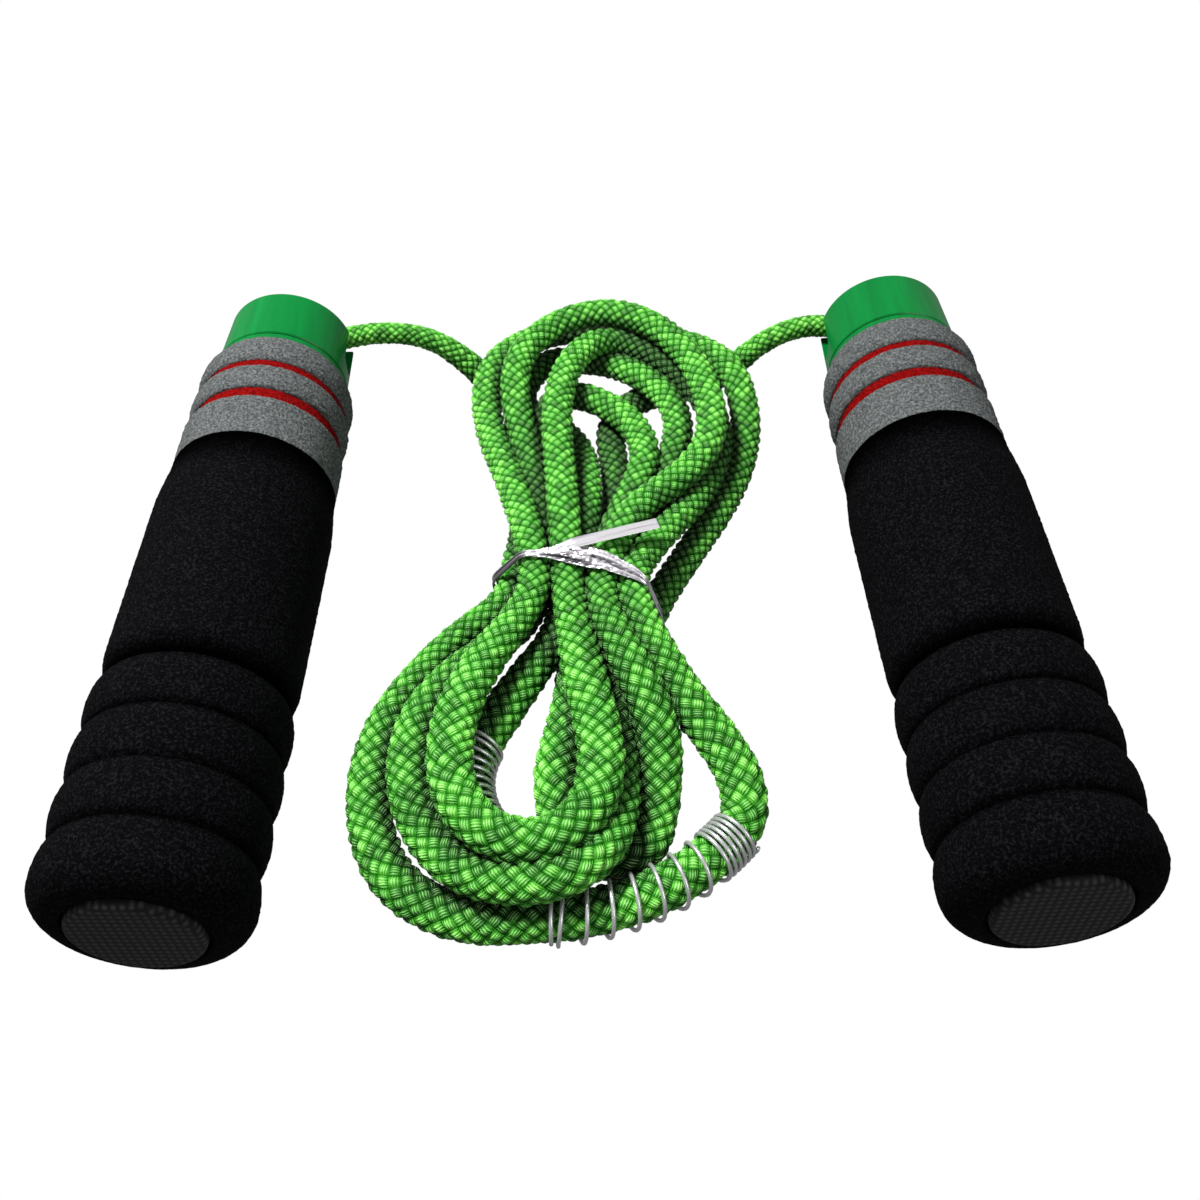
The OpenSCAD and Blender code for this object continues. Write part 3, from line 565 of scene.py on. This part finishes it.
def braid(name, u0, u1):
    """A woven skin: a lattice of diamonds that follow both families of strands."""
    phase = np.interp([u0, u1], walk_u, PHASE)
    k = np.arange(int(round(phase[0] * 2 * SPLIT)), int(round(phase[1] * 2 * SPLIT)) + 1)
    k[-1] = min(k[-1], int(PHASE[-1] * 2 * SPLIT))
    u = np.interp(k / (2 * SPLIT), PHASE, walk_u)
    centre = rope_at(u)
    ahead = rope_at(np.minimum(u + 0.03, LAST)) - rope_at(np.maximum(u - 0.03, 0))
    ahead /= np.linalg.norm(ahead, axis=1)[:, None]
    out = np.cross(ahead, [0, 0, 1.0])
    out /= np.linalg.norm(out, axis=1)[:, None]
    up = np.cross(out, ahead)
    around = STRANDS * SPLIT
    m = np.arange(around)[None, :]
    odd = (k % 2)[:, None]
    i = m + (odd - k[:, None]) // 2
    j = m + (odd + k[:, None]) // 2
    x, y = (i % SPLIT) / SPLIT, (j % SPLIT) / SPLIT
    over = (i // SPLIT + j // SPLIT) % 2 == 0
    across, along = np.where(over, x, y), np.where(over, y, x)
    rng = np.random.default_rng(8)
    proud = rng.uniform(0.72, 1.12, (64, 64))[(i // SPLIT) % 64, (j // SPLIT) % 64]
    hump = np.sin(math.pi * across) ** 0.45 * np.sin(math.pi * along) ** 0.75 * proud
    sway = 0.16 * np.sin(0.11 * k + 1.3) + 0.1 * np.sin(0.043 * k)
    theta = 2 * math.pi * (m + odd / 2) / around + sway[:, None]
    w, h = half_sizes(centre, u)
    lift = RELIEF * ((w + h) / 2)[:, None] * (hump - 0.62)
    points = (centre[:, None] + ((w[:, None] + lift) * np.cos(theta))[..., None] * out[:, None]
              + ((h[:, None] + lift) * np.sin(theta))[..., None] * up[:, None])
    points[..., 2] = np.maximum(points[..., 2], 0.08)  # flattened where it lies on the floor
    rows = len(k)
    r = np.arange(rows - 2)[:, None]
    mm = np.broadcast_to(m, (rows - 2, around))
    even = (k[:-2] % 2 == 0)[:, None]
    low = r * around + mm
    right = (r + 1) * around + np.where(even, mm, (mm + 1) % around)
    top = (r + 2) * around + mm
    left = (r + 1) * around + np.where(even, (mm - 1) % around, mm)
    quads = np.stack([low, right, top, left], axis=2).reshape(-1, 4)
    ai, bj = i[:-2] - 1, j[:-2]
    xl, yl = (ai % SPLIT) / SPLIT, (bj % SPLIT) / SPLIT
    step = 1 / SPLIT
    corner = [(xl + step, yl), (xl + step, yl + step), (xl, yl + step), (xl, yl)]
    plus = (ai // SPLIT + bj // SPLIT) % 2 == 0
    uv = np.stack([np.stack([np.where(plus, a, b), np.where(plus, b, a)], axis=2)
                   for a, b in corner], axis=2).reshape(-1, 2)
    table = np.random.default_rng(5).random((64, 64))
    tone = table[(ai // SPLIT) % 64, (bj // SPLIT) % 64].reshape(-1)
    ends = []
    for row, flip in ((0, True), (rows - 2, False)):
        for n in range(around):
            nxt = (n + 1) % around
            base, other = (row, row + 1) if flip else (row + 1, row)
            even_row = k[base] % 2 == 0
            between = n if even_row else nxt
            tri = (base * around + n, base * around + nxt, other * around + between)
            ends.append(tri if flip else tri[::-1])
    caps = [tuple(range(around))[::-1], tuple(range((rows - 1) * around, rows * around))]
    faces = quads.tolist() + ends + caps
    flat = points.reshape(-1, 3)
    made = mesh_object(name, flat, faces, "green_rope")
    mesh = made.data
    # painted shade: how far each point stands above the blurred upper surface of the rope round it;
    # low strands read darker in the braid material
    mesh.attributes.new("open", "FLOAT", "POINT").data.foreach_set(
        "value", np.clip(0.42 + (flat[:, 2] - UPPER_SURFACE[cell(flat[:, 0], flat[:, 1])]) / 7, 0, 1))
    loops = len(mesh.loops)
    layer = mesh.uv_layers.new(name="cell")
    full = np.full((loops, 2), 0.5)
    full[:len(uv)] = uv
    layer.data.foreach_set("uv", full.reshape(-1))
    tones = np.full(len(mesh.polygons), 0.5)
    tones[:len(tone)] = tone
    mesh.attributes.new("tone", "FLOAT", "FACE").data.foreach_set("value", tones)
    return made


OVERLAP = 2.2                # knots of bundle that each lead's skin runs into
coil = braid("rope_coil", LEFT_CUT + OVERLAP, RIGHT_CUT - OVERLAP)
stand_in(coil, "rope_coil")
for name, u0, u1, cut, away in (("left_lead", 0.35, LEFT_CUT + OVERLAP, LEFT_CUT, 1),
                                ("right_lead", RIGHT_CUT - OVERLAP, LAST - 0.35, RIGHT_CUT, -1)):
    lead = braid(name, u0, u1)
    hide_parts(name)
    lead.data.transform(Matrix.Translation(SHIFT * MM))
    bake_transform(lead)
coil.data.transform(Matrix.Translation(SHIFT * MM))


# ------------------------------------------------------------------ springs
def wire_spring(name, bend, z0, z1, a0, a1, first_turns, open_turns, end_turns=6,
                closed_pitch=1.2):
    """Round wire coil along an arc of the rope: closed turns, open turns, closed turns."""
    per_turn, sides, wire_r, coil_r = 30, 8, 0.42, 5.1
    span = bend[2] * math.radians(a1 - a0)
    turns = first_turns + open_turns + end_turns
    t = np.linspace(0, turns, turns * per_turn + 1)
    along = np.interp(t, [0, first_turns, turns - end_turns, turns],
                      [0, first_turns * closed_pitch, span - end_turns * closed_pitch, span])
    a = np.radians(a0) + along / bend[2]
    radial = np.column_stack([np.cos(a), np.sin(a), 0 * a])
    mid = np.array([bend[0], bend[1], 0]) + bend[2] * radial
    mid[:, 2] = z0 + (z1 - z0) * along / span
    out = np.cos(2 * math.pi * t)[:, None] * radial
    out[:, 2] += np.sin(2 * math.pi * t)
    wire = mid + coil_r * out
    run = np.gradient(wire, axis=0)
    run /= np.linalg.norm(run, axis=1)[:, None]
    side = np.cross(out, run)
    ring = 2 * math.pi * np.arange(sides) / sides
    points = (wire[:, None] + wire_r * (np.cos(ring)[None, :, None] * out[:, None]
                                        + np.sin(ring)[None, :, None] * side[:, None]))
    made = mesh_object(name, points.reshape(-1, 3) + SHIFT, ring_faces(len(t), sides, True),
                       "bright_steel")
    stand_in(made, name)


wire_spring("front_spring", SPRING_A_ARC, 5.7, 6.3, 270.5, 317.2, 1, 7)
wire_spring("inner_spring", SPRING_B_ARC, 6.8, 6.5, 152, 236, 1, 9)


# ------------------------------------------------------------------ twist tie
def ribbon(line, across, normal, width, crinkle, dark, columns, rng, closed=False):
    """A strip of creased foil: points and faces of its two sides and rims, and a painted shade value
    per point.
    """
    n = len(line)
    v = np.linspace(-1, 1, columns)
    t = np.linspace(0, 1, n)[:, None]
    height = np.zeros((n, columns))
    for waves, size in ((1.5, 0.5), (2.6, 0.35), (4.2, 0.3), (6.5, 0.2)):
        drift = sum(rng.normal() / k * np.sin(2 * math.pi * (k * t + rng.random()))
                    for k in (1, 2, 3, 5, 8))
        height += size * np.sin(math.pi * waves * v + 1.6 * drift + rng.random() * 6)
    height += 0.25 * rng.normal(size=(n, columns)) * (crinkle[:, None] > 0.2)
    base = (line[:, None] + (width / 2)[:, None, None] * v[:, None] * across[:, None]
            + (crinkle[:, None] * height)[..., None] * normal[:, None])
    shells = np.stack([base + 0.07 * normal[:, None], base - 0.07 * normal[:, None]])
    # painted light and shade: the strip's painted shade level, lighter on crease crests and darker in
    # their hollows
    shade = np.clip(dark[:, None] + (0.35 + crinkle[:, None]) * height, 0, 1)
    top, under = 0, n * columns
    faces = []
    for a in range(n if closed else n - 1):
        b = (a + 1) % n
        for c in range(columns - 1):
            p, q, r, s = a * columns + c, a * columns + c + 1, b * columns + c + 1, b * columns + c
            faces += [(p, q, r, s), (under + s, under + r, under + q, under + p)]
        for c, flip in ((0, False), (columns - 1, True)):
            near, far = a * columns + c, b * columns + c
            rim = (near, far, under + far, under + near)
            faces.append(rim[::-1] if flip else rim)
    if not closed:
        for a, flip in ((0, True), (n - 1, False)):
            for c in range(columns - 1):
                rim = (a * columns + c, a * columns + c + 1, under + a * columns + c + 1,
                       under + a * columns + c)
                faces.append(rim[::-1] if flip else rim)
    return shells.reshape(-1, 3), faces, np.tile(shade.reshape(-1), 2)


def waist_loop(radius, count):
    """Points (x, z) round the bundle's waist, evenly spaced."""
    hull = np.array([[-15.8, 9.7], [-10.6, 16.1], [5, 16.1], [11, 15.3], [14.2, 3.8], [-4, 3.8]])
    rim = []
    for k in range(len(hull)):
        a, b, c = hull[k - 1], hull[k], hull[(k + 1) % len(hull)]
        start = math.degrees(math.atan2(*(b - a)[::-1])) + 90
        end = math.degrees(math.atan2(*(c - b)[::-1])) + 90
        end += -360 if end > start + 180 else 360 if end < start - 180 else 0
        rim += arc(b[0], b[1], radius, start, end, 8)
    rim = np.array(rim + rim[:1])
    run = np.concatenate([[0], np.cumsum(np.linalg.norm(np.diff(rim, axis=0), axis=1))])
    at = np.linspace(0, run[-1], count, endpoint=False)
    return np.column_stack([np.interp(at, run, rim[:, 0]), np.interp(at, run, rim[:, 1])])


def strip(points, width, crinkle, dark, count, rng):
    """An open ribbon through a few points, lying face up."""
    points = np.asarray(points, float)
    t = np.linspace(0, len(points) - 1, count)
    line = np.column_stack([np.interp(t, range(len(points)), points[:, k]) for k in range(3)])
    line[:, 2] += 0.25 * np.sin(math.pi * t / t[-1])
    run = np.gradient(line, axis=0)
    run /= np.linalg.norm(run, axis=1)[:, None]
    across = np.cross([0, 0, 1.0], run)
    across /= np.linalg.norm(across, axis=1)[:, None]
    knots = np.linspace(0, 1, len(width))
    place = np.linspace(0, 1, count)
    return ribbon(line, across, np.cross(run, across), np.interp(place, knots, width),
                  np.interp(place, knots, crinkle), np.full(count, dark), 15, rng)


def twist_tie():
    """Foil band round the waist with a pinched knot, a loose end and a flat tail."""
    rng = np.random.default_rng(31)
    loop = waist_loop(3.75, 260)
    x, z = loop.T
    top = z > 9.0
    y = np.where(top, np.interp(x, [-21, -16.6, -10, -1, 6, 14.8, 21],
                                [7.6, 7.5, 6.9, 6.1, 3.6, -1.1, -1.5]),
                 np.interp(x, [-21, 21], [7.6, -1.5]))
    width = np.where(top, np.interp(x, [-21, -16.6, -11, -7, -1, 3, 8, 14.8, 21],
                                    [1.8, 2.2, 1.5, 2.2, 5.6, 5.4, 4.2, 1.9, 2.6]), 2.6)
    crinkle = np.where(top, np.interp(x, [-18, -11, -3, 6, 14], [0.2, 0.2, 0.45, 0.5, 0.25]), 0.12)
    line = np.column_stack([x, y, z])
    run = np.roll(line, -1, 0) - np.roll(line, 1, 0)
    run /= np.linalg.norm(run, axis=1)[:, None]
    flat = run * [1, 0, 1]
    flat /= np.linalg.norm(flat, axis=1)[:, None]
    outward = np.cross(flat, [0, 1.0, 0])
    outward *= np.sign(((line - [0, 5, 9]) * outward).sum())
    across = np.cross(outward, run)
    # painted shade along the band: near black at its left end, lighter towards the knot and tail,
    # darker where it runs under the bundle
    dark = np.where(top, np.interp(x, [-18, -14, -9, -2, 8, 14],
                                   [0.05, 0.1, 0.6, 0.45, 0.5, 0.45]), 0.3)
    # painted shade levels of the pieces: the knot strip mid, the tail lighter
    pieces = [ribbon(line, across, outward, width, crinkle, dark, 21, rng, True),
              strip([(-9.5, 7.1, 20.1), (-4, 6.4, 20.7), (2.5, 4.6, 20.6)], [1.0, 2.4, 3.0],
                    [0.2, 0.45, 0.5], 0.5, 50, rng),
              strip([(-6.5, 6.9, 20.5), (-1, 8.3, 20.9), (17.4, 13.8, 20.4)],
                    [0.9, 2.4, 2.9, 3.0, 3.0], [0.25, 0.14, 0.08, 0.06, 0.05], 0.85, 120, rng)]
    points, faces = [], []
    for more, quads, _ in pieces:
        start = sum(len(p) for p in points)
        points.append(more)
        faces += [tuple(start + v for v in q) for q in quads]
    made = mesh_object("twist_tie", np.vstack(points) + SHIFT, faces, "tie_foil")
    shade = np.concatenate([p[2] for p in pieces])
    made.data.attributes.new("shade", "FLOAT", "POINT").data.foreach_set("value", shade)
    stand_in(made, "twist_tie")


twist_tie()

# ------------------------------------------------------------------ scene
size = 3.0
floor_z = float(cad_box[0][2]) - 0.0001
floor_mesh = bpy.data.meshes.new("floor")
floor_mesh.from_pydata([(-size, -size, floor_z), (size, -size, floor_z), (size, size, floor_z),
                        (-size, size, floor_z)], [], [(0, 1, 2, 3)])
floor = bpy.data.objects.new("floor", floor_mesh)
bpy.context.scene.collection.objects.link(floor)
paper = Graph("paper", Roughness=0.9, Specular_IOR_Level=0.0, Emission_Strength=1.0)
paper.bsdf.inputs["Emission Color"].default_value = (1, 1, 1, 1)
paper.bsdf.inputs["Base Color"].default_value = (0, 0, 0, 1)
seen = paper.node("LightPath").outputs["Is Camera Ray"]  # white to the eye, dim as a lamp
paper.set("Emission Strength", paper.math("MULTIPLY_ADD", seen, 0.78, 0.22))
floor_mesh.materials.append(paper.material)

world = bpy.data.worlds.new("studio")
world.use_nodes = True
world.node_tree.nodes["Background"].inputs["Color"].default_value = (1, 1, 1, 1)
links = world.node_tree.links
behind = world.node_tree.nodes.new("ShaderNodeLightPath").outputs["Is Camera Ray"]
strength = world.node_tree.nodes.new("ShaderNodeMath")
strength.operation = "MULTIPLY_ADD"
AMBIENT = 0.27                      # as a lamp; the backdrop itself is seen white
strength.inputs[1].default_value = 1 - AMBIENT
strength.inputs[2].default_value = AMBIENT
links.new(behind, strength.inputs[0])
links.new(strength.outputs[0], world.node_tree.nodes["Background"].inputs["Strength"])
bpy.context.scene.world = world


def soft_box(name, place, aim, width, power):
    lamp = bpy.data.lights.new(name, "AREA")
    lamp.shape = "DISK"
    lamp.size = width
    lamp.energy = power
    made = bpy.data.objects.new(name, lamp)
    bpy.context.scene.collection.objects.link(made)
    place, aim = np.array(place), np.array(aim)
    back = (place - aim) / np.linalg.norm(place - aim)
    across = np.cross([0, 1, 0.01], back)
    across /= np.linalg.norm(across)
    axes = np.column_stack([across, np.cross(back, across), back])
    made.matrix_world = Matrix.Translation(place.tolist()) @ Matrix(axes.tolist()).to_4x4()


soft_box("key", (-0.3, 0.2, 0.7), (0, 0, 0), 0.2, 11.5)
soft_box("fill", (0.6, -0.5, 0.6), (0, 0, 0), 0.6, 2.0)

# Camera: looks forwards and down at the set from above the butts of the handles.
PITCH_DOWN, ROLL = math.radians(50.66), math.radians(-2.33)
CAMERA_AT = np.array([4, -178, 228.6])
camera = bpy.data.objects.new("camera", bpy.data.cameras.new("camera"))
bpy.context.scene.collection.objects.link(camera)
camera.data.lens, camera.data.sensor_width = 38.7, 36.0
camera.data.clip_start = 0.01
right = np.array([1.0, 0, 0])
up = np.array([0, math.sin(PITCH_DOWN), math.cos(PITCH_DOWN)])
view_dir = np.array([0, math.cos(PITCH_DOWN), -math.sin(PITCH_DOWN)])
right, up = (math.cos(ROLL) * right + math.sin(ROLL) * up,
             -math.sin(ROLL) * right + math.cos(ROLL) * up)
axes = Matrix(np.column_stack([right, up, -view_dir]).tolist()).to_4x4()
camera.matrix_world = Matrix.Translation(((CAMERA_AT + SHIFT) * MM).tolist()) @ axes
bpy.context.scene.camera = camera
bpy.context.scene.view_settings.view_transform = "Standard"
